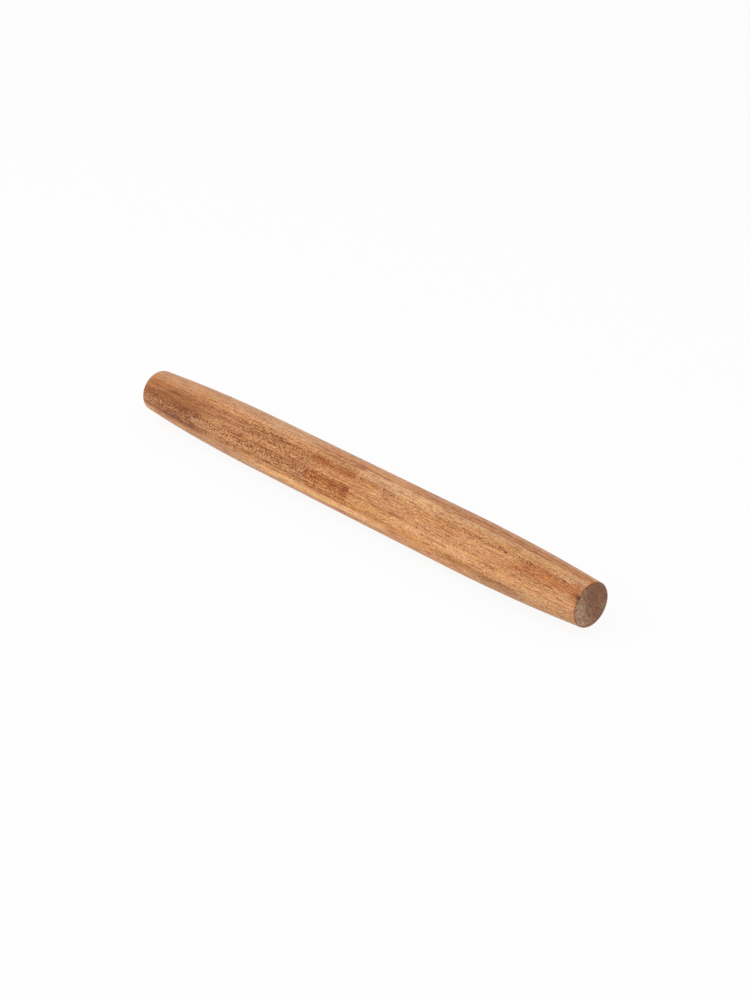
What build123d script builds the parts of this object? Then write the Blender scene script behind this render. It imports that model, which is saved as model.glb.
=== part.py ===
"""French rolling pin: a single solid bar of oiled hardwood, turned on a lathe, with no handles and no bearings.

The middle is a true cylinder, so that dough comes out level. On each side of it one long arc, tangent to
the cylinder, tapers the bar to a flat sawn end whose rim is eased. The hand rolls the whole bar, so nothing
on it moves against anything else.

Frame: origin on the pin's axis, halfway along. +X runs along the axis and +Z is up, as the pin lies on a
worktop. Millimetres.
"""

import os

from build123d import *

# Driving dimensions
PIN_LENGTH = 450.0
BARREL_LENGTH = 204.0
BARREL_DIAMETER = 41.0
END_DIAMETER = 32.0
RIM_ROUNDING = 1.2


def pin_outline():
    """Half of the lengthwise section, from the axis out to the turned surface."""
    half_pin = PIN_LENGTH / 2
    half_barrel = BARREL_LENGTH / 2
    barrel_radius = BARREL_DIAMETER / 2
    end_radius = END_DIAMETER / 2
    with BuildSketch(Plane.XZ) as outline:
        with BuildLine():
            barrel = Line((-half_barrel, barrel_radius), (half_barrel, barrel_radius))
            right_taper = TangentArc(barrel @ 1, (half_pin, end_radius), tangent=(1, 0))
            left_taper = TangentArc(barrel @ 0, (-half_pin, end_radius), tangent=(-1, 0))
            Polyline(right_taper @ 1, (half_pin, 0), (-half_pin, 0), left_taper @ 1)
        make_face()
    return outline.sketch


def pin_body():
    """The outline turned about the axis, with the rim of each flat end eased."""
    with BuildPart() as body:
        add(pin_outline())
        revolve(axis=Axis.X)
        rims = body.edges().filter_by(GeomType.CIRCLE).group_by(Axis.X)
        fillet(rims[0] + rims[-1], radius=RIM_ROUNDING)
    return body.part


os.makedirs("parts", exist_ok=True)
export_step(pin_body(), "parts/pin_body.step")
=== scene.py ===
"""The looks of a solid turned hardwood rolling pin, laid out as an add-on and run as a script.

Metres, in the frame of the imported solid: +X along the pin, +Z up, the origin halfway along the axis.
Sizes inside the wood materials are millimetres, because grain is easier to read that way.
"""

import math

import bmesh
import bpy
from bpy.props import FloatProperty, FloatVectorProperty, IntProperty, PointerProperty
from bpy.types import Operator, Panel, PropertyGroup
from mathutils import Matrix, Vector


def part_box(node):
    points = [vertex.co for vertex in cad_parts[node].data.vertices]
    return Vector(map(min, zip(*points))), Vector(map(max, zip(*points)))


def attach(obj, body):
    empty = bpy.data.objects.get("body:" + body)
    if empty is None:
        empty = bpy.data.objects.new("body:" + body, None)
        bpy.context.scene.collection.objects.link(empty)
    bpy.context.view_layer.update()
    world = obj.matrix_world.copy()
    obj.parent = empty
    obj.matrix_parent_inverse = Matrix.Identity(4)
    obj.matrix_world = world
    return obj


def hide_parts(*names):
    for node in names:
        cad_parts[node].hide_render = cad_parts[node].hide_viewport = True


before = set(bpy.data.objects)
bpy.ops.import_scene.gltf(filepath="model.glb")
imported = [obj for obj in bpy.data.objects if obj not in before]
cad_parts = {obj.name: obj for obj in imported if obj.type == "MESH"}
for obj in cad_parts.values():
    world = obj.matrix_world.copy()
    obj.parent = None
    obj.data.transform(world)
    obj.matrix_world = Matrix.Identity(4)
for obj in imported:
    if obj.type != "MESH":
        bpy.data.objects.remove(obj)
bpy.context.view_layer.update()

bl_info = {
    "name": "French Rolling Pin",
    "version": (1, 0, 0),
    "blender": (4, 5, 0),
    "location": "View3D > Sidebar > Rolling Pin",
    "description": "A solid turned pin of oiled hardwood with arc tapers and flat sawn ends",
    "category": "Add Mesh",
}

PIN_LOW, PIN_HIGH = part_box("pin_body")
MM = 0.001


# Settings

def colour(name, description, default):
    """A colour setting, in linear values."""
    return FloatVectorProperty(
        name=name, description=description, subtype="COLOR", size=3, min=0, max=1, default=default
    )


def length(name, description, default):
    """A length setting, in metres."""
    return FloatProperty(
        name=name, description=description, subtype="DISTANCE", unit="LENGTH", min=0, default=default
    )


def portion(name, description, default):
    """A setting from 0 to 1."""
    return FloatProperty(name=name, description=description, subtype="FACTOR", min=0, max=1, default=default)


def power(name, description, default):
    """The power of a lamp, in watts."""
    return FloatProperty(name=name, description=description, unit="POWER", min=0, default=default)


class PinShape(PropertyGroup):
    """Sizes of the turned bar."""

    half_length: length("Half Length", "From the middle of the pin to a flat end", PIN_HIGH.x)
    barrel_radius: length("Barrel Radius", "Radius of the straight middle", PIN_HIGH.z)
    barrel_length: length("Barrel Length", "Length of the straight middle", 0.204)
    end_radius: length("End Radius", "Radius that the taper comes down to", 0.016)
    rim_rounding: length("Rim Rounding", "Radius of the eased rim of a flat end", 0.0012)
    steps_around: IntProperty(name="Steps Around", description="Faces round the bar", min=32, default=224)
    step_along: length("Step Along", "Length of a face on the barrel", 0.002)


class PinWood(PropertyGroup):
    """Colours and finish of the oiled hardwood."""

    gold: colour("Gold", "Heartwood of the near half", (0.636, 0.293, 0.112))
    honey: colour("Honey", "Lighter runs of the heartwood", (0.750, 0.362, 0.146))
    # Cream is pale sapwood, kept bright so that the strip along the lower edge also holds painted bounce
    # light from the floor
    cream: colour("Cream", "Pale sapwood strip", (0.955, 0.552, 0.263))
    blush: colour("Blush", "Bleached pink runs along the top", (0.665, 0.355, 0.180))
    rose: colour("Rose", "Dull red brown along the top of the near half", (0.535, 0.220, 0.084))
    brown: colour("Brown", "Browner heartwood of the far half", (0.455, 0.183, 0.063))
    heart: colour("Heart", "Dark heartwood at the far end", (0.340, 0.112, 0.029))
    amber: colour("Amber", "Orange streaks", (0.520, 0.167, 0.034))
    cinnamon: colour("Cinnamon", "Red streaks under the sleeve", (0.425, 0.120, 0.022))
    russet: colour("Russet", "Dark red lines", (0.290, 0.078, 0.018))
    umber: colour("Umber", "Darkest lines", (0.120, 0.035, 0.008))
    olive: colour("Olive", "Greener brown band low on the near half", (0.475, 0.200, 0.064))
    sawn_dark: colour("Sawn Dark", "End grain of the heartwood", (0.232, 0.104, 0.052))
    sawn_pale: colour("Sawn Pale", "End grain towards the sapwood", (0.420, 0.256, 0.159))
    sawn_warm: colour("Sawn Warm", "Warmer layers of the end grain", (0.270, 0.112, 0.055))
    satin: portion("Satin", "Roughness of the oiled side", 0.46)
    relief: length("Relief", "Depth of the grain to the touch", 0.00012)


class StudioLight(PropertyGroup):
    """The floor, the lamps and the surround."""

    floor_colour: colour("Floor", "Colour of the floor as the light finds it", (0.90, 0.90, 0.90))
    sky: FloatProperty(name="Sky", description="Strength of the light from all round", min=0, default=0.66)
    key: power("Key", "Power of the large lamp", 14.0)
    fill: power("Fill", "Power of the lamp on the other side", 4.0)
    whiteness: portion("Whiteness", "How far the floor is lifted to white for the camera", 0.92)


# Node helpers

class Sheet:
    """One node tree, with short ways to add a node and join it to what feeds it."""

    COLUMNS = 14
    COLUMN_WIDTH = 190
    ROW_HEIGHT = 260

    def __init__(self, tree):
        self.tree = tree
        self.placed = 0

    def feed(self, socket, value):
        if isinstance(value, bpy.types.NodeSocket):
            self.tree.links.new(value, socket)
        else:
            socket.default_value = value

    def add(self, kind, inputs=None, **settings):
        node = self.tree.nodes.new(kind)
        row, column = divmod(self.placed, self.COLUMNS)
        node.location = (self.COLUMN_WIDTH * column, -self.ROW_HEIGHT * row)
        self.placed += 1
        for name, value in settings.items():
            setattr(node, name, value)
        for key, value in (inputs or {}).items():
            self.feed(node.inputs[key], value)
        return node

    def math(self, operation, *values, clamp=False):
        node = self.add("ShaderNodeMath", dict(enumerate(values)), operation=operation, use_clamp=clamp)
        return node.outputs[0]

    def plus(self, first, second, clamp=False):
        return self.math("ADD", first, second, clamp=clamp)

    def minus(self, first, second, clamp=False):
        return self.math("SUBTRACT", first, second, clamp=clamp)

    def times(self, first, second):
        return self.math("MULTIPLY", first, second)

    def times_plus(self, first, second, third, clamp=False):
        return self.math("MULTIPLY_ADD", first, second, third, clamp=clamp)

    def over(self, first, second):
        return self.math("DIVIDE", first, second)

    def larger(self, first, second):
        return self.math("MAXIMUM", first, second)

    def size_of(self, value):
        return self.math("ABSOLUTE", value)

    def squared(self, value):
        return self.math("POWER", value, 2.0)

    def diagonal(self, first, second):
        return self.math("POWER", self.plus(self.squared(first), self.squared(second)), 0.5)

    def vector(self, operation, *values):
        node = self.add("ShaderNodeVectorMath", dict(enumerate(values)), operation=operation)
        return node.outputs[0]

    def millimetres(self, position):
        node = self.add("ShaderNodeVectorMath", {0: position, "Scale": 1 / MM}, operation="SCALE")
        return node.outputs[0]

    def roll(self, vector, angle):
        node = self.add("ShaderNodeVectorRotate", {"Vector": vector, "Angle": angle}, rotation_type="X_AXIS")
        return node.outputs[0]

    def split(self, vector):
        return self.add("ShaderNodeSeparateXYZ", {0: vector}).outputs

    def join(self, x, y, z):
        return self.add("ShaderNodeCombineXYZ", {0: x, 1: y, 2: z}).outputs[0]

    def noise(self, place, scale, detail, **more):
        inputs = {"Vector": place, "Scale": scale, "Detail": detail, **more}
        return self.add("ShaderNodeTexNoise", inputs).outputs[0]

    def ramp(self, value, low, high, low_out=0.0, high_out=1.0):
        inputs = {0: value, 1: low, 2: high, 3: low_out, 4: high_out}
        node = self.add("ShaderNodeMapRange", inputs, clamp=False)
        node.interpolation_type = "SMOOTHSTEP"
        return node.outputs[0]

    def mix(self, share, first, second, blend="MIX"):
        node = self.add("ShaderNodeMix", data_type="RGBA", blend_type=blend)
        for place, value in ((0, share), (6, first), (7, second)):
            if place and not isinstance(value, bpy.types.NodeSocket):
                value = (*value[:3], 1.0)
            self.feed(node.inputs[place], value)
        return node.outputs[2]

    def tint(self, share, base, multiplier):
        return self.mix(share, base, multiplier, "MULTIPLY")

    def group(self, tree, inputs):
        node = self.add("ShaderNodeGroup")
        node.node_tree = tree
        node.label = tree.name
        for key, value in inputs.items():
            self.feed(node.inputs[key], value)
        return node.outputs


def new_group(name, inputs, outputs):
    """An empty shader node group, its sheet, the sockets that come in and the node that they go out by."""
    tree = bpy.data.node_groups.new(name, "ShaderNodeTree")
    for label, kind, default in inputs:
        socket = tree.interface.new_socket(name=label, in_out="INPUT", socket_type="NodeSocket" + kind)
        if default is not None:
            socket.default_value = default
    for label, kind in outputs:
        tree.interface.new_socket(name=label, in_out="OUTPUT", socket_type="NodeSocket" + kind)
    sheet = Sheet(tree)
    return sheet, sheet.add("NodeGroupInput").outputs, sheet.add("NodeGroupOutput").inputs


def new_material(name):
    """An empty material, ready for its nodes."""
    material = bpy.data.materials.new(name)
    material.use_nodes = True
    material.node_tree.nodes.clear()
    return material


# Effects that both wood materials share

NOISE_MIDDLE = 0.5
BOW_DEPTH = 14.0
WANDER_LENGTHS = (95, 34, 34)
SHAKE_LENGTHS = (26, 6, 6)
SHAKE_SHARE = 0.45
WANDER_REACH = 4.0
LEAST_PORE_SHARE = 0.4
PORE_CORE_SHARE = 0.35
STREAK_GAPS = (0.35, 0.62)
KNOCK_SCALE = 0.45
LEAST_KNOCK = 0.3
MOST_KNOCK = 1.7
KNOCK_CORE_SHARE = 0.4


def board_space():
    """Where a point lies in the board, in millimetres: along the grain, across the layers, through them."""
    sheet, given, out = new_group(
        "board_space",
        [("Position", "Vector", None), ("Ring Tilt", "Float", 0.647), ("Ring Radius", "Float", 90.0),
         ("Swell From", "Float", 102.0), ("Swell", "Float", 69000.0), ("Wander", "Float", 0.35)],
        [("Along", "Float"), ("Across", "Float"), ("Board", "Vector")],
    )
    place = sheet.millimetres(given["Position"])
    parts = sheet.split(sheet.roll(place, given["Ring Tilt"]))
    across = sheet.times(parts[2], -1.0)
    depth = sheet.times(parts[1], -1.0)

    # The growth layers curve round the heart of the tree
    bowed = sheet.squared(sheet.minus(depth, BOW_DEPTH))
    bend = sheet.over(bowed, sheet.times(given["Ring Radius"], 2.0))

    # They draw together beyond the barrel, as the tapers do
    beyond = sheet.larger(sheet.minus(sheet.size_of(parts[0]), given["Swell From"]), 0.0)
    swell = sheet.minus(1.0, sheet.over(sheet.squared(beyond), given["Swell"]))
    across = sheet.over(across, swell)

    # They wander slowly and shake briskly
    wide = sheet.noise(sheet.vector("MULTIPLY", place, [1 / size for size in WANDER_LENGTHS]), 1.0, 1.0)
    narrow = sheet.noise(sheet.vector("MULTIPLY", place, [1 / size for size in SHAKE_LENGTHS]), 1.0, 2.0)
    drift = sheet.minus(wide, NOISE_MIDDLE)
    shake = sheet.times(sheet.minus(narrow, NOISE_MIDDLE), SHAKE_SHARE)
    wander = sheet.times(sheet.plus(drift, shake), sheet.times(given["Wander"], WANDER_REACH))
    across = sheet.plus(sheet.plus(across, bend), wander)

    board = sheet.join(parts[0], across, depth)
    sheet.feed(out["Along"], parts[0])
    sheet.feed(out["Across"], across)
    sheet.feed(out["Board"], board)
    return sheet.tree


def counted(sheet, given, depth):
    """The place in the board counted in fibres or pores of the given size, instead of in millimetres."""
    size = sheet.join(given["Length"], given["Width"], given[depth])
    return sheet.vector("ADD", sheet.vector("DIVIDE", given["Board"], size), given["Start"])


def fibres():
    """Uneven streaks drawn out along the grain, from 0 to 1 about a middle of 0.5."""
    sheet, given, out = new_group(
        "fibres",
        [("Board", "Vector", None), ("Length", "Float", 40.0), ("Width", "Float", 0.8),
         ("Depth", "Float", 1.5), ("Detail", "Float", 2.0), ("Roughness", "Float", 0.55),
         ("Contrast", "Float", 1.0), ("Start", "Float", 0.0)],
        [("Tone", "Float")],
    )
    place = counted(sheet, given, "Depth")
    noise = sheet.noise(place, 1.0, given["Detail"], Roughness=given["Roughness"])
    swing = sheet.times(sheet.minus(noise, NOISE_MIDDLE), given["Contrast"])
    sheet.feed(out["Tone"], sheet.plus(swing, NOISE_MIDDLE, clamp=True))
    return sheet.tree


def pores():
    """Open vessels, long thin cells of the solid wood: dark dashes on a side and dots on an end."""
    sheet, given, out = new_group(
        "pores",
        [("Board", "Vector", None), ("Length", "Float", 4.0), ("Width", "Float", 0.7),
         ("Share", "Float", 0.5), ("Fill", "Float", 0.5), ("Start", "Float", 0.0)],
        [("Mask", "Float")],
    )
    inputs = {"Vector": counted(sheet, given, "Width"), "Scale": 1.0, "Randomness": 1.0}
    cell = sheet.add("ShaderNodeTexVoronoi", inputs, feature="F1").outputs
    chance = sheet.add("ShaderNodeSeparateColor", {0: cell["Color"]}).outputs
    there = sheet.math("LESS_THAN", chance[0], given["Share"])
    size = sheet.times_plus(chance[1], 1 - LEAST_PORE_SHARE, LEAST_PORE_SHARE)
    reach = sheet.times(given["Fill"], size)
    body = sheet.ramp(cell["Distance"], reach, sheet.times(reach, PORE_CORE_SHARE))
    sheet.feed(out["Mask"], sheet.times(body, there))
    return sheet.tree


def streak():
    """One named streak of the board: where it lies across, how wide it is, and where it starts and stops."""
    sheet, given, out = new_group(
        "streak",
        [("Along", "Float", 0.0), ("Across", "Float", 0.0), ("Break", "Float", 0.5), ("Place", "Float", 0.0),
         ("Half Width", "Float", 1.0), ("Edge", "Float", 0.5), ("Slope", "Float", 0.0),
         ("From", "Float", -225.0), ("To", "Float", 225.0), ("Fade", "Float", 20.0),
         ("Break Up", "Float", 0.5)],
        [("Mask", "Float")],
    )
    along, half, edge = given["Along"], given["Half Width"], given["Edge"]
    start, stop, fade = given["From"], given["To"], given["Fade"]
    middle = sheet.times_plus(sheet.minus(along, start), given["Slope"], given["Place"])
    frayed = sheet.times(sheet.minus(given["Break"], NOISE_MIDDLE), sheet.times(edge, 2.0))
    off = sheet.plus(sheet.size_of(sheet.minus(given["Across"], middle)), frayed)
    body = sheet.ramp(off, sheet.plus(half, edge), sheet.minus(half, edge))
    begun = sheet.ramp(along, sheet.minus(start, fade), sheet.plus(start, fade))
    going = sheet.ramp(along, sheet.plus(stop, fade), sheet.minus(stop, fade))
    held = sheet.times(sheet.times(body, begun), going)
    gaps = sheet.ramp(given["Break"], *STREAK_GAPS)
    kept = sheet.minus(1.0, sheet.times(gaps, given["Break Up"]))
    sheet.feed(out["Mask"], sheet.times(held, kept))
    return sheet.tree


def rim_reach():
    """How near a point is to the rim of a flat end: 1 on it and 0 beyond the reach, broken up by handling."""
    sheet, given, out = new_group(
        "rim_reach",
        [("Position", "Vector", None), ("Half Length", "Float", 225.0), ("End Radius", "Float", 16.0),
         ("Reach", "Float", 1.5)],
        [("Mask", "Float")],
    )
    place = sheet.millimetres(given["Position"])
    parts = sheet.split(place)
    inward = sheet.minus(given["End Radius"], sheet.diagonal(parts[1], parts[2]))
    back = sheet.minus(given["Half Length"], sheet.size_of(parts[0]))
    away = sheet.diagonal(inward, back)
    knocks = sheet.noise(place, KNOCK_SCALE, 3.0)
    uneven = sheet.times(given["Reach"], sheet.times_plus(knocks, MOST_KNOCK - LEAST_KNOCK, LEAST_KNOCK))
    sheet.feed(out["Mask"], sheet.ramp(away, uneven, sheet.times(uneven, KNOCK_CORE_SHARE)))
    return sheet.tree


def shared_effects():
    """The node groups, built once."""
    return {build.__name__: build() for build in (board_space, fibres, pores, streak, rim_reach)}


# Where the pin and the darker ring about its middle begin and end, in millimetres along the axis

FAR_END = -225
NEAR_END = 225
DARK_RING_FROM = -34
DARK_RING_TO = 10.4

# Streaks of this board, the pale strip along the lower edge with painted bounce light from the floor among
# them: name, colour, across, half width, edge, slope, from, to, fade, break up, strength

STREAKS = (
    # Across runs from -20.5 on the upper outline of the seen side to 20.5 on the lower one
    ("far ground", "brown", 2.0, 11.0, 2.4, 0.0, FAR_END, -14, 40, 0.15, 0.95),
    ("far crown", "blush", -16.2, 4.6, 1.6, 0.0, -150, -34, 14, 0.35, 0.70),
    ("far crown end", "brown", -14.0, 5.8, 1.8, 0.0, FAR_END, -154, 16, 0.25, 0.48),
    ("far crown veil", "blush", -16.4, 4.4, 1.6, 0.0, FAR_END, -158, 14, 0.20, 0.42),
    ("far crown line", "rose", -13.8, 0.7, 0.6, 0.0, -170, -120, 14, 0.40, 0.40),
    ("far crown run", "blush", -14.8, 2.0, 1.0, 0.0, -124, -66, 16, 0.20, 0.70),
    ("far heart", "heart", 3.6, 9.0, 1.6, 0.0, FAR_END, -162, 14, 0.15, 0.95),
    ("far heart core", "russet", 3.6, 3.4, 1.0, 0.0, FAR_END, -154, 9, 0.35, 0.65),
    ("far heart tail", "heart", -0.6, 1.5, 0.9, 0.0, -176, -132, 14, 0.30, 0.65),
    ("far heart bright", "brown", 10.2, 2.4, 1.0, 0.0, FAR_END, -186, 12, 0.35, 0.65),
    ("far middle run", "gold", 1.0, 1.4, 0.9, 0.0, -144, -46, 12, 0.30, 0.70),
    ("far upper run", "gold", -8.6, 1.5, 0.8, 0.0, -144, -80, 10, 0.35, 0.60),
    ("far upper glow", "honey", -3.7, 1.2, 0.8, 0.0, -142, -116, 8, 0.40, 0.50),
    ("far upper end", "honey", -3.7, 1.2, 0.8, 0.0, -72, -44, 8, 0.40, 0.45),
    ("far upper shade", "amber", -11.0, 1.2, 0.8, 0.0, -74, -42, 8, 0.40, 0.40),
    ("far speck run", "honey", 4.0, 1.1, 0.8, 0.0, -142, -116, 8, 0.40, 0.45),
    ("far speck end", "honey", 6.2, 2.4, 0.9, 0.0, -120, -84, 9, 0.40, 0.45),
    ("far heart run", "brown", -1.2, 1.0, 0.7, 0.0, FAR_END, -174, 9, 0.35, 0.60),
    ("far heart low", "russet", 12.6, 1.5, 0.7, 0.0, FAR_END, -156, 12, 0.35, 0.60),
    ("far foot", "heart", 15.4, 1.4, 0.6, 0.0, FAR_END, -158, 12, 0.25, 0.84),
    ("far upper band", "heart", -6.4, 1.7, 0.9, 0.0, FAR_END, -140, 16, 0.35, 0.45),
    ("far bright run", "honey", 7.8, 2.1, 0.9, 0.0, -154, -106, 9, 0.35, 0.80),
    ("far bright end", "honey", 8.4, 1.1, 0.7, 0.0, -104, -40, 12, 0.50, 0.40),
    ("far middle glow", "honey", -1.2, 1.2, 0.8, 0.0, -92, -36, 12, 0.35, 0.50),
    ("far heart shade", "russet", 5.6, 2.2, 1.0, 0.0, -188, -156, 8, 0.30, 0.80),
    ("far tip heart", "gold", -1.2, 1.4, 0.8, 0.0, FAR_END, -202, 5, 0.25, 0.35),
    ("far tip red", "cinnamon", -6.8, 2.4, 1.0, 0.0, FAR_END, -202, 6, 0.25, 0.44),
    ("far tip low", "russet", 13.6, 1.1, 0.8, 0.0, FAR_END, -210, 5, 0.20, 0.22),
    ("far tip glow", "gold", 11.5, 1.5, 0.8, 0.0, FAR_END, -206, 5, 0.20, 0.90),
    ("far curl glow", "honey", 9.2, 2.0, 1.0, 0.0, -150, -36, 12, 0.35, 0.32),
    ("far curl low", "gold", 8.6, 2.0, 1.0, 0.0, -212, -166, 8, 0.30, 0.20),
    ("far curl start", "blush", 8.2, 2.0, 1.0, 0.0, -166, -128, 8, 0.25, 0.46),
    ("far veil", "honey", -8.0, 7.5, 1.5, 0.0, -128, -94, 10, 0.10, 0.19),
    ("far heart glow", "brown", 4.4, 1.6, 0.8, 0.0, -206, -186, 6, 0.30, 0.40),
    ("far foot shade", "russet", 15.0, 0.9, 0.5, 0.0, -214, -150, 8, 0.20, 0.42),
    # Pale rows along the lower edge of the far end: sapwood, with painted bounce light from the floor on top
    # of it
    ("far pale foot with painted bounce", "cream", 17.7, 1.0, 0.5, 0.0, FAR_END, -138, 8, 0.15, 0.14),
    ("far pale tip with painted bounce", "cream", 18.8, 1.9, 0.6, 0.0, FAR_END, -209, 4, 0.10, 0.36),
    ("far red run", "cinnamon", 4.4, 1.5, 0.9, 0.0, -116, -36, 10, 0.60, 0.40),
    ("far low run", "honey", 13.6, 1.2, 0.7, 0.0, -100, -44, 12, 0.35, 0.70),
    ("upper red line", "cinnamon", -7.0, 0.7, 0.5, 0.0, -150, -38, 10, 0.55, 0.28),
    ("middle red line", "russet", 3.6, 0.5, 0.3, 0.0, -118, -38, 12, 0.60, 0.50),
    ("far umber row", "umber", -4.4, 0.30, 0.26, 0.0, -200, -182, 4, 0.45, 0.60),
    ("far umber end", "umber", -0.2, 0.36, 0.30, 0.0, -210, -194, 4, 0.45, 0.60),
    ("far smudge", "umber", -2.9, 0.9, 0.6, 0.0, -137, -127, 3, 0.40, 0.55),
    ("far dark halo", "russet", 13.9, 0.9, 0.6, 0.006, -214, -138, 10, 0.30, 0.50),
    ("far umber line", "umber", 13.9, 0.50, 0.25, 0.006, -206, -144, 7, 0.25, 0.85),
    # Pale strip along the lower edge: sapwood, with painted bounce light from the floor on top of it
    ("sapwood strip start with painted bounce", "blush", 17.2, 2.6, 0.9, 0.0, -152, -84, 9, 0.15, 1.00),
    ("sapwood strip with painted bounce", "cream", 17.0, 2.0, 0.8, 0.0, -84, 58, 24, 0.05, 0.98),
    ("cream foot", "blush", 20.0, 1.3, 0.8, 0.0, -150, 40, 20, 0.20, 0.60),
    ("cream edge", "russet", 18.6, 0.35, 0.3, 0.0, -4, 50, 8, 0.30, 0.60),
    ("near crown", "rose", -18.8, 4.0, 0.8, 0.0, 52, NEAR_END, 18, 0.20, 1.00),
    ("near crown edge", "blush", -20.0, 1.6, 1.0, 0.0, 70, NEAR_END, 20, 0.20, 0.45),
    ("crown line", "russet", -15.2, 0.5, 0.4, 0.0, 8, 192, 10, 0.45, 1.00),
    ("crown fine line", "umber", -15.1, 0.30, 0.25, 0.0, 70, 200, 14, 0.60, 0.60),
    ("crown thread", "russet", -17.4, 0.35, 0.3, 0.0, 60, NEAR_END, 16, 0.60, 0.60),
    ("near pale run", "blush", -12.0, 3.4, 1.2, 0.0, -10, 98, 20, 0.20, 1.00),
    ("near pale middle", "cream", -9.4, 3.8, 1.4, 0.0, 48, 86, 12, 0.30, 0.30),
    ("near pale crown", "cream", -13.6, 1.4, 0.8, 0.0, 14, 84, 8, 0.35, 0.30),
    ("near pale end", "blush", -13.0, 1.95, 0.9, 0.0, 96, NEAR_END, 14, 0.25, 0.80),
    ("near brown upper", "brown", -10.2, 1.3, 0.9, 0.0, 150, 204, 12, 0.40, 0.32),
    ("near pale tip", "blush", -11.6, 2.8, 1.0, 0.0, 204, NEAR_END, 7, 0.20, 0.80),
    ("near row start", "brown", -7.3, 2.0, 0.9, 0.0, 14, 52, 7, 0.40, 0.55),
    ("near row", "brown", -5.9, 1.6, 0.7, 0.0, 100, NEAR_END, 12, 0.35, 0.52),
    ("near row tip", "heart", -6.8, 1.8, 0.9, 0.0, 184, NEAR_END, 8, 0.35, 0.32),
    ("near dark row", "olive", -6.0, 1.6, 0.8, 0.0, 164, NEAR_END, 10, 0.30, 0.45),
    ("near amber run", "amber", -3.6, 0.9, 0.6, 0.0, 64, 132, 12, 0.40, 0.25),
    ("near middle run", "amber", -1.2, 1.3, 0.8, 0.0, 66, 122, 12, 0.35, 0.55),
    ("near upper start", "amber", -4.2, 1.3, 0.8, 0.0, DARK_RING_TO, 34, 6, 0.35, 0.30),
    ("near middle glow", "honey", 1.3, 1.5, 0.8, 0.0, 116, 170, 12, 0.30, 0.55),
    ("near upper glow", "honey", -3.8, 1.2, 0.8, 0.0, 114, 168, 10, 0.30, 0.55),
    ("near middle start", "honey", -1.2, 1.2, 0.8, 0.0, 16, 62, 6, 0.35, 0.55),
    ("near speck run", "olive", 2.0, 1.7, 0.9, 0.0, 12, 50, 8, 0.40, 0.24),
    ("near speck veil", "blush", 3.7, 1.2, 0.8, 0.0, 32, 130, 10, 0.35, 0.30),
    ("near upper veil", "blush", -1.4, 1.1, 0.8, 0.0, 34, 60, 8, 0.35, 0.24),
    ("near amber", "amber", -4.2, 2.3, 1.0, 0.0, 172, NEAR_END, 12, 0.25, 0.85),
    ("near amber low", "amber", -0.8, 2.0, 1.2, 0.0, 162, NEAR_END, 12, 0.30, 0.90),
    ("near brown low", "brown", 2.6, 1.8, 1.0, 0.0, 156, 196, 10, 0.40, 0.40),
    ("near honey edge", "honey", 5.9, 1.1, 0.7, 0.0, 126, 172, 8, 0.30, 0.45),
    ("near tip", "blush", 8.6, 6.4, 2.0, 0.0, 206, NEAR_END, 8, 0.35, 0.50),
    ("near honey start", "honey", DARK_RING_TO, 1.8, 0.8, 0.0, 6, 34, 8, 0.20, 0.90),
    ("near honey run", "honey", 9.8, 3.4, 1.2, 0.0, 40, NEAR_END, 12, 0.20, 1.00),
    ("near honey core", "cream", 8.7, 2.4, 1.0, 0.0, 76, 134, 12, 0.30, 0.42),
    ("near low gold", "amber", 13.4, 1.2, 0.7, 0.0, 12, 80, 8, 0.40, 0.30),
    ("near red thread", "cinnamon", 5.6, 0.7, 0.5, 0.0, 12, 76, 8, 0.75, 0.60),
    ("near olive band", "olive", 14.4, 2.1, 0.9, 0.036, 104, 180, 12, 0.20, 0.85),
    ("near end run", "honey", 14.8, 4.6, 1.0, 0.0, 184, 206, 6, 0.05, 1.00),
    ("near foot end", "blush", 17.4, 2.2, 0.9, 0.0, 152, 198, 8, 0.20, 0.20),
    ("near end veil", "blush", 13.5, 4.6, 1.4, 0.0, 176, NEAR_END, 6, 0.20, 0.34),
    ("near foot", "honey", 18.4, 2.2, 0.9, 0.0, 44, 138, 12, 0.20, 0.85),
    ("near foot run", "honey", 15.4, 1.6, 0.8, 0.0, 48, 104, 12, 0.20, 0.60),
    # Rows of the darker ring about the middle, from -34 to 10.4 mm along the axis
    ("dark ring ground", "brown", -11.0, 3.8, 0.9, 0.0, DARK_RING_FROM, DARK_RING_TO, 0.7, 0.30, 0.48),
    ("dark ring crown", "rose", -16.0, 1.4, 1.0, 0.0, -36, 12.0, 9.0, 0.75, 0.72),
    ("dark ring crown line", "russet", -15.5, 0.35, 0.3, 0.0, -36, 34.0, 8.0, 0.65, 0.70),
    ("dark ring crown thread", "russet", -13.6, 0.3, 0.3, 0.0, -36, 16.0, 6.0, 0.60, 0.55),
    ("dark ring top", "rose", -11.6, 2.4, 0.9, 0.0, DARK_RING_FROM, DARK_RING_TO, 0.9, 0.60, 0.28),
    ("dark ring gap", "honey", -1.2, 2.0, 0.9, 0.0, DARK_RING_FROM, DARK_RING_TO, 0.8, 0.40, 0.62),
    ("dark ring upper band", "cinnamon", -7.6, 1.9, 1.0, 0.0, DARK_RING_FROM, DARK_RING_TO, 0.8, 0.55, 0.78),
    ("dark ring upper glow", "amber", -5.9, 1.4, 0.8, 0.0, DARK_RING_FROM, DARK_RING_TO, 0.8, 0.30, 0.95),
    ("dark ring upper line", "russet", -6.3, 0.45, 0.4, 0.0, DARK_RING_FROM, DARK_RING_TO, 0.8, 0.25, 0.75),
    ("dark ring upper thread", "russet", -8.6, 0.4, 0.4, 0.0, DARK_RING_FROM, DARK_RING_TO, 0.8, 0.55, 0.65),
    ("dark ring lower glow", "amber", 6.6, 4.4, 1.2, 0.0, DARK_RING_FROM, DARK_RING_TO, 0.8, 0.30, 1.00),
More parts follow.
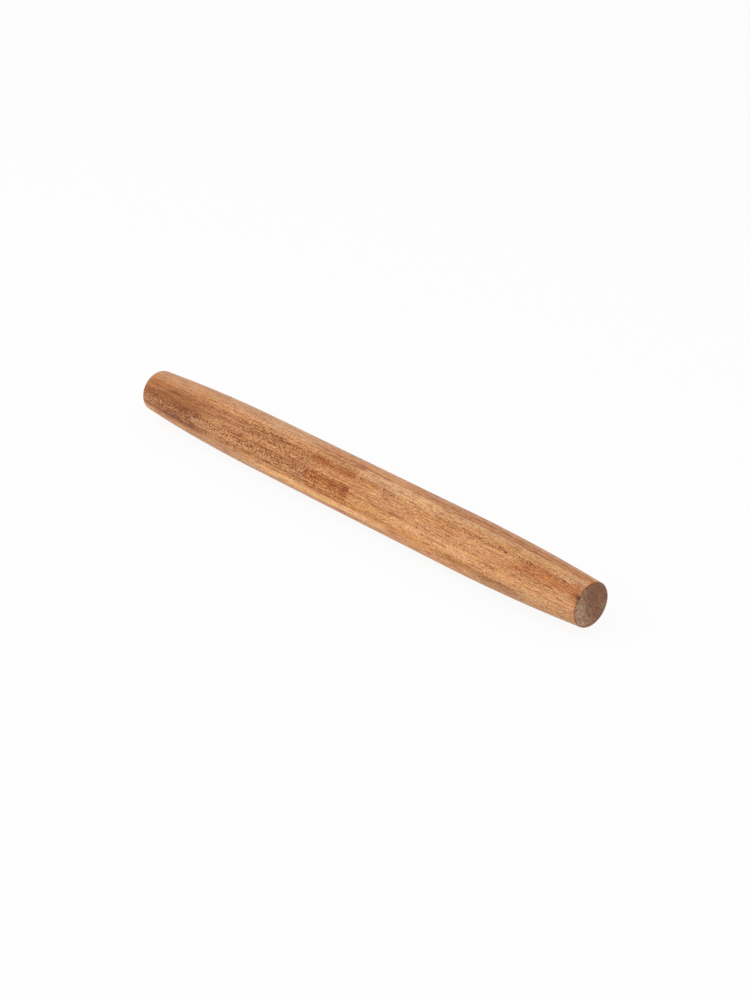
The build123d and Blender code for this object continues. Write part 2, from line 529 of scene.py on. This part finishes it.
    ("dark ring lower band", "cinnamon", 5.2, 2.2, 1.2, 0.0, DARK_RING_FROM, DARK_RING_TO, 0.8, 0.75, 1.00),
    ("dark ring lower line", "russet", 3.8, 0.5, 0.45, 0.0, DARK_RING_FROM, DARK_RING_TO, 0.8, 0.30, 0.80),
    ("dark ring lower thread", "russet", 7.2, 0.5, 0.45, 0.0, -24, DARK_RING_TO, 0.8, 0.45, 0.45),
    ("dark ring orange", "honey", 10.9, 1.0, 0.7, 0.0, DARK_RING_FROM, DARK_RING_TO, 0.8, 0.45, 0.62),
    ("dark ring low", "amber", 13.1, 1.3, 0.8, 0.0, DARK_RING_FROM, DARK_RING_TO, 0.8, 0.35, 0.60),
    ("rim knot halo", "cinnamon", -1.2, 3.2, 1.6, 0.0, 218.8, 229, 2.0, 0.15, 0.95),
    ("rim knot", "russet", -0.7, 1.9, 1.0, 0.0, 222.2, 229, 0.9, 0.00, 0.85),
    ("rim knot core", "umber", -0.7, 1.7, 0.8, 0.0, 222.7, 229, 0.6, 0.00, 1.00),
    ("rim stain", "heart", -9.6, 2.2, 1.2, 0.0, 217, 229, 3.0, 0.30, 0.60),
)


# Wide bands: across, half width, edge, slope, from, to, fade, break up

DARK_RING = (-1.0, 16.6, 0.9, 0.0, DARK_RING_FROM, DARK_RING_TO, 0.7, 0.0)
LOW_SIDE = (15.8, 4.0, 1.6, 0.0, -240, 128, 16, 0.0)
PORE_ROW = (-6.8, 1.5, 0.5, 0.0, DARK_RING_FROM, 214, 3, 0.0)
CURL = (7.6, 4.2, 1.6, 0.0, -222, 9.4, 2, 0.0)
FAR_PATCH = (-5.5, 4.0, 1.5, 0.0, -108, -42, 12, 0.0)
STILL_END = (-8.0, 12.5, 2.0, 0.0, -240, -146, 20, 0.0)
RIM_SPOT = (-0.7, 1.8, 0.7, 0.0, 210, 240, 4, 0.0)

# Changes along or across the side: from, to, value up to there, value beyond

ROW_FADES = (56.0, 84.0, 0.80, 0.55)
ROW_RETURNS = (110.0, 160.0, 0.55, 1.0)
LIVELY_LOW = (12.0, 16.5, 0.84, 0.30)
LIVELY_LOW_NEAR = (50.0, 100.0, 0.30, 0.84)
LIVELY_CROWN = (-11.0, -16.0, 0.84, 0.42)
LIVELY_ALONG = (-20.0, 50.0, 0.85, 0.69)
NEAR_SPECKLE_ALONG = (-20.0, 50.0)
LONG_RUNS_ALONG = (30.0, -60.0, 0.12, 0.60)
WARMER_ALONG = (-60.0, -10.0)
GLEAM_ALONG = (-60.0, 50.0, 0.64, 1.0)

# How strongly each kind of grain counts on the side

DARK_LAYERS = 0.22
PALE_LAYERS = 0.34
RAGGEDNESS = 1.6
LIVELIER = 0.36
STILLER = -0.50
SPECKLE_WEIGHT = 1.70
THREADS_WEIGHT = 0.45
BROKEN_WEIGHT = 0.60
HAIRS = 0.60
FINE_PORES_SHOW = 0.45
COARSE_PORES_SHOW = 0.22
COARSE_PORES_CROWD = 0.55
ROW_CROWD = 0.50
PATCH_CROWD = 0.75
FEWER_PORES = -0.45
CURL_FLECKS = 0.55
PALE_PORES_SHOW = 0.14
PALE_PORES_CURL = 0.45
SIDE_RIM_DARKENING = 0.40
SIDE_RIM_POLISH = 0.06
BROKEN_DULLS = 0.16
PORES_DULL = 0.35
THREADS_RAISED = 0.30
BROKEN_RAISED = 0.20
SIDE_BUMP = 0.55

# How strongly each kind of grain counts on the sawn end

LAYER_LEAN = (0.70, 0.72)
PATCH_REACH = 5.0
FAR_SIDE_DEPTH = (-6.0, -12.0)
FAR_SIDE_ACROSS = (8.0, 2.0)
FAR_SIDE_PALER = 0.40
PALER_FROM_TO = (0.0, 14.0)
WARM_PATCHES = 0.6
END_SPECKLE_WEIGHT = 1.1
END_RAYS_WEIGHT = 0.6
END_LAYERS_WEIGHT = 0.3
END_PORES_SHOW = 0.32
END_RIM_DARKENING = 0.70
SPOT_DEPTH = (13.5, 15.0)
SPOT_DARKENING = 0.9
END_ROUGHNESS = 0.62
END_SPECKLE_DULLS = 0.2
END_PORES_DULL = 0.2
END_SPECKLE_RAISED = 0.3
END_BUMP = 0.5

# Fibres: length, width, depth, detail, contrast, start

SIDE_FIBRES = {
    "drift": (60.0, 4.5, 9.0, 2.0, 3.0, 23.0),
    "layers": (80.0, 1.0, 12.0, 2.0, 2.8, 3.0),
    "broken": (26.0, 0.8, 3.0, 2.0, 2.6, 8.3),
    "threads": (7.0, 0.6, 1.6, 1.0, 3.4, 11.0),
    "hairs": (13.0, 0.8, 2.2, 1.0, 3.4, 31.0),
    "far speckle": (1.5, 0.80, 1.8, 1.0, 3.6, 17.0),
    "near speckle": (1.8, 0.56, 1.5, 2.0, 3.6, 19.0),
}
END_LAYERS = (30.0, 1.3, 10.0, 2.0, 3.0, 3.0)
END_RAYS = (30.0, 0.9, 5.0, 1.0, 3.0, 5.0)
END_SPECKLE = (30.0, 0.9, 0.9, 1.0, 3.6, 9.0)
END_PATCHES = (30.0, 5.0, 9.0, 2.0, 3.0, 1.0)
END_RAY_LEAN = -0.72

# Pores: length, width, share, fill, start

FINE_PORES = (4.0, 0.62, 0.60, 0.66, 0.0)
COARSE_PORES = (5.0, 0.85, 0.40, 0.62, 6.1)
SHORT_PORES = (1.5, 1.05, 0.52, 0.92, 2.7)
PALE_PORES = (3.2, 1.0, 0.60, 0.50, 9.1)
END_PORES = (5.0, 0.75, 0.50, 0.48, 0.0)

# Tints that the colour is multiplied by

WARM_DRIFT = (1.04, 1.02, 0.88)
COOL_DRIFT = (1.015, 0.965, 1.00)
DARK_RING_TINT = (0.975, 0.945, 0.88)
LOW_SIDE_TINT = (1.015, 0.985, 0.890)
FAR_SHADE = (0.44, 0.235, 0.175)
NEAR_SHADE = (0.515, 0.214, 0.125)
FAR_GLEAM = (1.36, 1.86, 2.06)
NEAR_GLEAM = (1.29, 1.92, 2.25)
HAIR_TINT = (0.50, 0.32, 0.24)
PORE_TINT = (0.34, 0.19, 0.12)
END_LAYER_TINT = (1.00, 1.03, 0.95)
END_SHADE = (0.50, 0.40, 0.33)
END_GLEAM = (1.50, 1.58, 1.66)

OIL_SHEEN = 0.27
SIDE_RIM_REACH = 1.7
END_RIM_REACH = 0.9


class WoodSheet(Sheet):
    """The sheet of one wood material: the point's place in the board, and the shared effects."""

    def __init__(self, tree, groups):
        super().__init__(tree)
        self.groups = groups
        self.position = self.add("ShaderNodeTexCoord").outputs["Object"]
        space = self.group(groups["board_space"], {"Position": self.position})
        self.along, self.across, self.board = space["Along"], space["Across"], space["Board"]

    def fibres(self, size, width, depth, detail, contrast, start, board=None):
        inputs = {"Board": board or self.board, "Length": size, "Width": width, "Depth": depth,
                  "Detail": detail, "Contrast": contrast, "Start": start}
        return self.group(self.groups["fibres"], inputs)["Tone"]

    def pores(self, size, width, share, fill, start):
        inputs = {"Board": self.board, "Length": size, "Width": width, "Share": share, "Fill": fill,
                  "Start": start}
        return self.group(self.groups["pores"], inputs)["Mask"]

    def streak(self, along, fray, place, half, edge, slope, start, stop, fade, gaps):
        inputs = {"Along": along, "Across": self.across, "Break": fray, "Place": place, "Half Width": half,
                  "Edge": edge, "Slope": slope, "From": start, "To": stop, "Fade": fade, "Break Up": gaps}
        return self.group(self.groups["streak"], inputs)["Mask"]

    def rim(self, shape, reach):
        inputs = {"Position": self.position, "Half Length": shape.half_length / MM,
                  "End Radius": shape.end_radius / MM, "Reach": reach}
        return self.group(self.groups["rim_reach"], inputs)["Mask"]

    def finish(self, base, rough, height, strength, relief):
        bump = self.add("ShaderNodeBump", {"Strength": strength, "Distance": relief, "Height": height})
        surface = {"Base Color": base, "Roughness": rough, "Normal": bump.outputs[0],
                   "Specular IOR Level": OIL_SHEEN}
        shader = self.add("ShaderNodeBsdfPrincipled", surface)
        self.add("ShaderNodeOutputMaterial", {"Surface": shader.outputs[0]})


class SideSheet(WoodSheet):
    """The sheet of the oiled side: its fibres, and bands whose edges and ends the fibres fray."""

    def __init__(self, tree, groups):
        super().__init__(tree, groups)
        self.fibre = {name: self.fibres(*sizes) for name, sizes in SIDE_FIBRES.items()}
        self.fray = self.times(self.plus(self.fibre["broken"], self.fibre["threads"]), 0.5)
        self.ragged = self.times_plus(self.minus(self.fray, NOISE_MIDDLE), RAGGEDNESS, self.along)

    def band(self, *sizes):
        return self.streak(self.ragged, self.fray, *sizes)


def side_colour(side, wood):
    """Heartwood in two tones, the named streaks with the painted bounce light on the lower strip, a slow
    drift, the darker ring about the middle and the low side.
    """
    layers, drift = side.fibre["layers"], side.fibre["drift"]
    base = side.mix(side.times(side.ramp(layers, 0.50, 0.05), DARK_LAYERS), wood.gold, wood.heart)
    base = side.mix(side.times(side.ramp(layers, 0.55, 0.98), PALE_LAYERS), base, wood.honey)
    for name, tint, *sizes, strength in STREAKS:
        mask = side.band(*sizes)
        mask.node.label = name
        base = side.mix(side.times(mask, strength), base, getattr(wood, tint))
    base = side.tint(side.ramp(drift, 0.55, 0.95), base, WARM_DRIFT)
    base = side.tint(side.ramp(drift, 0.45, 0.05), base, COOL_DRIFT)
    base = side.tint(side.band(*DARK_RING), base, DARK_RING_TINT)
    return side.tint(side.band(*LOW_SIDE), base, LOW_SIDE_TINT)


def pore_row(side):
    """The row of closer pores, from the darker ring about the middle to the near end, faintest about 100 mm
    out.
    """
    row = side.band(*PORE_ROW)
    fainter = side.ramp(side.along, *ROW_FADES)
    fuller = side.ramp(side.along, *ROW_RETURNS)
    return side.times(row, side.larger(fainter, fuller))


def side_liveliness(side, curl, far_patch, still):
    """How strongly the figure shows: most in the curl and the far patch, least at the far end."""
    low = side.larger(side.ramp(side.across, *LIVELY_LOW), side.ramp(side.along, *LIVELY_LOW_NEAR))
    calm = side.math("MINIMUM", side.ramp(side.across, *LIVELY_CROWN), low)
    lively = side.times_plus(side.larger(curl, far_patch), LIVELIER, calm)
    lively = side.times(lively, side.times_plus(still, STILLER, 1.0))
    return side.times(lively, side.ramp(side.along, *LIVELY_ALONG))


def side_figure(side, base, lively):
    """Speckle, threads and long runs as shade and gleam on the colour, and a few dark hairs."""
    along, layers, broken = side.along, side.fibre["layers"], side.fibre["broken"]
    nearness = side.ramp(along, *NEAR_SPECKLE_ALONG)
    far_part = side.times(side.fibre["far speckle"], side.minus(1.0, nearness))
    near_part = side.times(side.fibre["near speckle"], nearness)
    speckle = side.plus(far_part, near_part)
    figure = side.times_plus(speckle, SPECKLE_WEIGHT, side.times(side.fibre["threads"], THREADS_WEIGHT))
    figure = side.times_plus(broken, BROKEN_WEIGHT, figure)
    long_runs = side.times(side.minus(layers, NOISE_MIDDLE), side.ramp(along, *LONG_RUNS_ALONG))
    figure = side.plus(figure, long_runs)
    warmer = side.ramp(along, *WARMER_ALONG)
    shade = side.times(side.ramp(figure, 1.40, 0.40), lively)
    gleam = side.times(side.ramp(figure, 1.40, 2.40), lively)
    gleam = side.times(gleam, side.ramp(along, *GLEAM_ALONG))
    base = side.tint(shade, base, side.mix(warmer, FAR_SHADE, NEAR_SHADE))
    base = side.tint(gleam, base, side.mix(warmer, FAR_GLEAM, NEAR_GLEAM))
    return side.tint(side.times(side.ramp(side.fibre["hairs"], 0.32, 0.10), HAIRS), base, HAIR_TINT)


def side_pores(side, base, wood, row, curl, far_patch, still):
    """Dark pores all over, short ones in the row, the curl and the far patch, and a few filled pale."""
    fine = side.pores(*FINE_PORES)
    coarse = side.pores(*COARSE_PORES)
    crowded = side.larger(side.times(row, ROW_CROWD), side.times(far_patch, PATCH_CROWD))
    dense = side.times_plus(crowded, COARSE_PORES_CROWD, COARSE_PORES_SHOW)
    dark = side.larger(side.times(fine, FINE_PORES_SHOW), side.times(coarse, dense))
    dark = side.times(dark, side.times_plus(still, FEWER_PORES, 1.0))
    short = side.pores(*SHORT_PORES)
    flecked = side.larger(row, side.times(side.larger(curl, far_patch), CURL_FLECKS))
    dark = side.larger(dark, side.times(short, flecked))
    base = side.tint(dark, base, PORE_TINT)
    pale = side.pores(*PALE_PORES)
    pale = side.times(pale, side.times_plus(curl, PALE_PORES_CURL, PALE_PORES_SHOW))
    return side.mix(pale, base, wood.cream), dark


def turned_side_material(wood, shape, groups):
    """Oiled side grain: colour, figure, pores, and a rim darkened by handling."""
    material = new_material("turned_side")
    side = SideSheet(material.node_tree, groups)
    base = side_colour(side, wood)
    row = pore_row(side)
    curl, far_patch, still = side.band(*CURL), side.band(*FAR_PATCH), side.band(*STILL_END)
    base = side_figure(side, base, side_liveliness(side, curl, far_patch, still))
    base, dark = side_pores(side, base, wood, row, curl, far_patch, still)
    rim = side.rim(shape, SIDE_RIM_REACH)
    base = side.mix(side.times(rim, SIDE_RIM_DARKENING), base, wood.heart)

    broken, threads = side.fibre["broken"], side.fibre["threads"]
    worn = side.times_plus(side.minus(broken, NOISE_MIDDLE), BROKEN_DULLS, wood.satin)
    worn = side.plus(worn, side.times(dark, PORES_DULL))
    rough = side.minus(worn, side.times(rim, SIDE_RIM_POLISH), clamp=True)
    raised = side.times_plus(threads, THREADS_RAISED, side.times(broken, BROKEN_RAISED))
    side.finish(base, rough, side.minus(raised, dark), SIDE_BUMP, wood.relief)
    return material


def sawn_end_material(wood, shape, groups):
    """Sawn and sanded end grain: the same board seen end on, darker where the oil soaked in."""
    material = new_material("sawn_end")
    end = WoodSheet(material.node_tree, groups)
    depth = end.split(end.board)[2]
    leaning = end.roll(end.board, END_RAY_LEAN)
    layers = end.fibres(*END_LAYERS)
    rays = end.fibres(*END_RAYS, leaning)
    speckle = end.fibres(*END_SPECKLE)
    patches = end.fibres(*END_PATCHES)

    # Paler towards the sapwood and at the far side of the heart
    lean = end.times_plus(depth, LAYER_LEAN[0], end.times(end.across, LAYER_LEAN[1]))
    lean = end.times_plus(end.minus(patches, NOISE_MIDDLE), PATCH_REACH, lean)
    far_side = end.ramp(depth, *FAR_SIDE_DEPTH)
    far_side = end.times(far_side, end.ramp(end.size_of(end.across), *FAR_SIDE_ACROSS))
    paler = end.times_plus(far_side, FAR_SIDE_PALER, end.ramp(lean, *PALER_FROM_TO), clamp=True)
    base = end.mix(paler, wood.sawn_dark, wood.sawn_pale)
    base = end.mix(end.times(end.ramp(patches, 0.45, 0.05), WARM_PATCHES), base, wood.sawn_warm)
    base = end.tint(end.ramp(layers, 0.55, 1.0), base, END_LAYER_TINT)

    # Speckle, rays and layers as shade and gleam, then the pores
    figure = end.times_plus(speckle, END_SPECKLE_WEIGHT, end.times(rays, END_RAYS_WEIGHT))
    figure = end.times_plus(layers, END_LAYERS_WEIGHT, figure)
    base = end.tint(end.ramp(figure, 1.0, 0.2), base, END_SHADE)
    base = end.tint(end.ramp(figure, 1.0, 1.8), base, END_GLEAM)
    dots = end.pores(*END_PORES)
    base = end.mix(end.times(dots, END_PORES_SHOW), base, wood.umber)

    # The rim, and the knot that the side shows too
    rim = end.rim(shape, END_RIM_REACH)
    base = end.mix(end.times(rim, END_RIM_DARKENING), base, wood.russet)
    spot = end.streak(end.along, NOISE_MIDDLE, *RIM_SPOT)
    spot = end.times(spot, end.ramp(depth, *SPOT_DEPTH))
    base = end.mix(end.times(spot, SPOT_DARKENING), base, wood.umber)

    worn = end.times_plus(end.minus(speckle, NOISE_MIDDLE), END_SPECKLE_DULLS, END_ROUGHNESS)
    rough = end.plus(worn, end.times(dots, END_PORES_DULL), clamp=True)
    raised = end.times(speckle, END_SPECKLE_RAISED)
    end.finish(base, rough, end.minus(raised, dots), END_BUMP, wood.relief)
    return material


# The turned bar

SIDE_SLOT = 0
END_SLOT = 1
RIM_TURNS = 10
RIM_GAP_SHARE = 0.2
END_GRAIN_TURNS = 7
END_RING_SHARES = (0.94, 0.8, 0.6, 0.4, 0.2, 0.06)


def bar_outline(shape):
    """Stations from the middle to a flat end: place along the axis and radius, the rim rounding with them."""
    half, barrel = shape.half_length, shape.barrel_length / 2
    run, drop = half - barrel, shape.barrel_radius - shape.end_radius
    arc = (run * run + drop * drop) / (2 * drop)

    def taper(x):
        reach = max(0.0, x - barrel)
        return shape.barrel_radius - (arc - math.sqrt(arc * arc - reach * reach))

    ease = shape.rim_rounding
    lean = math.asin(run / arc)
    centre_x = half - ease
    centre_r = taper(centre_x) - ease / math.cos(lean)
    steps = round((centre_x - ease) / shape.step_along)
    last = centre_x - RIM_GAP_SHARE * ease
    stations = [(x, taper(x)) for x in (last * i / steps for i in range(steps + 1))]
    for i in range(1, RIM_TURNS + 1):
        angle = math.radians(90) * i / RIM_TURNS
        stations.append((centre_x + ease * math.sin(angle), centre_r + ease * math.cos(angle)))
    return stations


def turned_bar(shape):
    """The mesh of the bar: rings of quads along the outline, and rings inward across each flat end."""
    right = bar_outline(shape)
    outline = [(-x, r) for x, r in reversed(right[1:])] + right
    around = shape.steps_around
    form = bmesh.new()

    def ring(x, r):
        turns = (2 * math.pi * i / around for i in range(around))
        return [form.verts.new((x, r * math.cos(t), r * math.sin(t))) for t in turns]

    def facet(corners, slot):
        face = form.faces.new(corners)
        face.smooth = True
        face.material_index = slot

    def bridge(first, second, slot):
        for i in range(around):
            j = (i + 1) % around
            facet((first[i], first[j], second[j], second[i]), slot)

    rings = [ring(x, r) for x, r in outline]
    for i, (first, second) in enumerate(zip(rings, rings[1:])):
        from_end = min(i, len(rings) - 2 - i)
        bridge(first, second, END_SLOT if from_end < END_GRAIN_TURNS else SIDE_SLOT)
    for end, outward in ((rings[0], -1), (rings[-1], 1)):
        last, x, r = end, end[0].co.x, math.hypot(end[0].co.y, end[0].co.z)
        for share in END_RING_SHARES:
            inner = ring(x, r * share)
            pair = (last, inner) if outward > 0 else (inner, last)
            bridge(*pair, END_SLOT)
            last = inner
        middle = form.verts.new((x, 0, 0))
        for i in range(around):
            pair = (last[i], last[(i + 1) % around])
            facet((*pair, middle) if outward > 0 else (*reversed(pair), middle), END_SLOT)
    mesh = bpy.data.meshes.new("turned_pin")
    form.to_mesh(mesh)
    form.free()
    return mesh


class ROLLINGPIN_OT_turn_bar(Operator):
    """Turn the bar and finish it as oiled hardwood"""

    bl_idname = "rolling_pin.turn_bar"
    bl_label = "Turn Bar"

    def execute(self, context):
        shape, wood = context.scene.pin_shape, context.scene.pin_wood
        groups = shared_effects()
        mesh = turned_bar(shape)
        mesh.materials.append(turned_side_material(wood, shape, groups))
        mesh.materials.append(sawn_end_material(wood, shape, groups))
        bar = bpy.data.objects.new("turned_pin", mesh)
        context.scene.collection.objects.link(bar)
        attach(bar, "root")
        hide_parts("pin_body")
        return {"FINISHED"}


# The studio: turns and rises in degrees about the pin, distances and sizes in metres

CAMERA_TURN = 47.57
CAMERA_RISE = 27.0
CAMERA_AWAY = 1.7864
CAMERA_LENS = 90.97
CAMERA_SHIFT = (0.0176, -0.0110)
KEY_TURN = -18
KEY_RISE = 52
KEY_AWAY = 1.8
FILL_TURN = 105
FILL_RISE = 40
FILL_AWAY = 2.2
LAMP_SIDE = 1.6
FLOOR_HALF = 5.0
FLOOR_PALEST = (0.9, 0.9, 0.9)
WHITE = (1, 1, 1, 1)


def place_round_pin(name, data, turn, rise, away):
    """A lamp or a camera, linked to the scene and turned to face the pin."""
    turn, rise = math.radians(turn), math.radians(rise)
    flat = math.cos(rise)
    towards = Vector((math.sin(turn) * flat, -math.cos(turn) * flat, math.sin(rise)))
    holder = bpy.data.objects.new(name, data)
    holder.location = towards * away
    holder.rotation_euler = towards.to_track_quat("Z", "Y").to_euler()
    bpy.context.scene.collection.objects.link(holder)
    return holder


def soft_lamp(name, watts):
    """A large square lamp."""
    lamp = bpy.data.lights.new(name, "AREA")
    lamp.shape = "SQUARE"
    lamp.size = LAMP_SIDE
    lamp.energy = watts
    return lamp


def seen_rays(sheet, path):
    """1 for what the camera sees, straight or by way of metal or glass, and 0 for what only gives light."""
    other = sheet.larger(path["Is Glossy Ray"], path["Is Transmission Ray"])
    return sheet.larger(path["Is Camera Ray"], other)


def floor_material(light):
    """Pale floor. The camera sees it lifted to white, with the pin's shadow still on it."""
    material = new_material("studio_floor")
    sheet = Sheet(material.node_tree)
    path = sheet.add("ShaderNodeLightPath").outputs
    grain = sheet.add("ShaderNodeTexNoise", {"Scale": 3.0, "Detail": 2.0}).outputs[0]
    tone = sheet.mix(sheet.times(grain, 0.02), light.floor_colour, FLOOR_PALEST)
    lit = sheet.add("ShaderNodeBsdfDiffuse", {"Color": tone})
    white = sheet.add("ShaderNodeEmission", {"Color": WHITE, "Strength": 1.0})
    share = sheet.times(seen_rays(sheet, path), light.whiteness)
    surface = sheet.add("ShaderNodeMixShader", {0: share, 1: lit.outputs[0], 2: white.outputs[0]})
    sheet.add("ShaderNodeOutputMaterial", {"Surface": surface.outputs[0]})
    return material


def white_surround(light):
    """Even light from all round, which the camera sees as white."""
    world = bpy.data.worlds.new("studio_surround")
    world.use_nodes = True
    world.node_tree.nodes.clear()
    sheet = Sheet(world.node_tree)
    path = sheet.add("ShaderNodeLightPath").outputs
    strength = sheet.ramp(seen_rays(sheet, path), 0.0, 1.0, light.sky, 1.0)
    surround = sheet.add("ShaderNodeBackground", {"Color": WHITE, "Strength": strength})
    sheet.add("ShaderNodeOutputWorld", {"Surface": surround.outputs[0]})
    return world


class ROLLINGPIN_OT_set_studio(Operator):
    """Lay the floor and place the lamps and the camera"""

    bl_idname = "rolling_pin.set_studio"
    bl_label = "Set Studio"

    def execute(self, context):
        scene, light = context.scene, context.scene.studio_light
        mesh = bpy.data.meshes.new("studio_floor")
        sides = ((-1, -1), (1, -1), (1, 1), (-1, 1))
        corners = [(x * FLOOR_HALF, y * FLOOR_HALF, PIN_LOW.z) for x, y in sides]
        mesh.from_pydata(corners, [], [(0, 1, 2, 3)])
        mesh.materials.append(floor_material(light))
        floor = bpy.data.objects.new("studio_floor", mesh)
        scene.collection.objects.link(floor)

        place_round_pin("key_lamp", soft_lamp("key_lamp", light.key), KEY_TURN, KEY_RISE, KEY_AWAY)
        place_round_pin("fill_lamp", soft_lamp("fill_lamp", light.fill), FILL_TURN, FILL_RISE, FILL_AWAY)
        scene.world = white_surround(light)
        scene.view_settings.view_transform = "Standard"

        lens = bpy.data.cameras.new("photo_camera")
        lens.lens = CAMERA_LENS
        lens.shift_x, lens.shift_y = CAMERA_SHIFT
        scene.camera = place_round_pin("photo_camera", lens, CAMERA_TURN, CAMERA_RISE, CAMERA_AWAY)
        return {"FINISHED"}


class ROLLINGPIN_PT_sidebar(Panel):
    """Settings and steps of the rolling pin"""

    bl_idname = "ROLLINGPIN_PT_sidebar"
    bl_label = "Rolling Pin"
    bl_space_type = "VIEW_3D"
    bl_region_type = "UI"
    bl_category = "Rolling Pin"

    def draw(self, context):
        layout, scene = self.layout, context.scene
        for title, step, settings in (
            ("Bar", ROLLINGPIN_OT_turn_bar, (scene.pin_shape, scene.pin_wood)),
            ("Studio", ROLLINGPIN_OT_set_studio, (scene.studio_light,)),
        ):
            box = layout.box()
            box.label(text=title)
            for holder in settings:
                for name in type(holder).__annotations__:
                    box.prop(holder, name)
            box.operator(step.bl_idname)


CLASSES = (
    PinShape, PinWood, StudioLight, ROLLINGPIN_OT_turn_bar, ROLLINGPIN_OT_set_studio, ROLLINGPIN_PT_sidebar
)


def register():
    for item in CLASSES:
        bpy.utils.register_class(item)
    bpy.types.Scene.pin_shape = PointerProperty(type=PinShape)
    bpy.types.Scene.pin_wood = PointerProperty(type=PinWood)
    bpy.types.Scene.studio_light = PointerProperty(type=StudioLight)


def unregister():
    del bpy.types.Scene.studio_light, bpy.types.Scene.pin_wood, bpy.types.Scene.pin_shape
    for item in reversed(CLASSES):
        bpy.utils.unregister_class(item)


def main():
    register()
    bpy.ops.rolling_pin.turn_bar()
    bpy.ops.rolling_pin.set_studio()


if __name__ == "__main__":
    main()
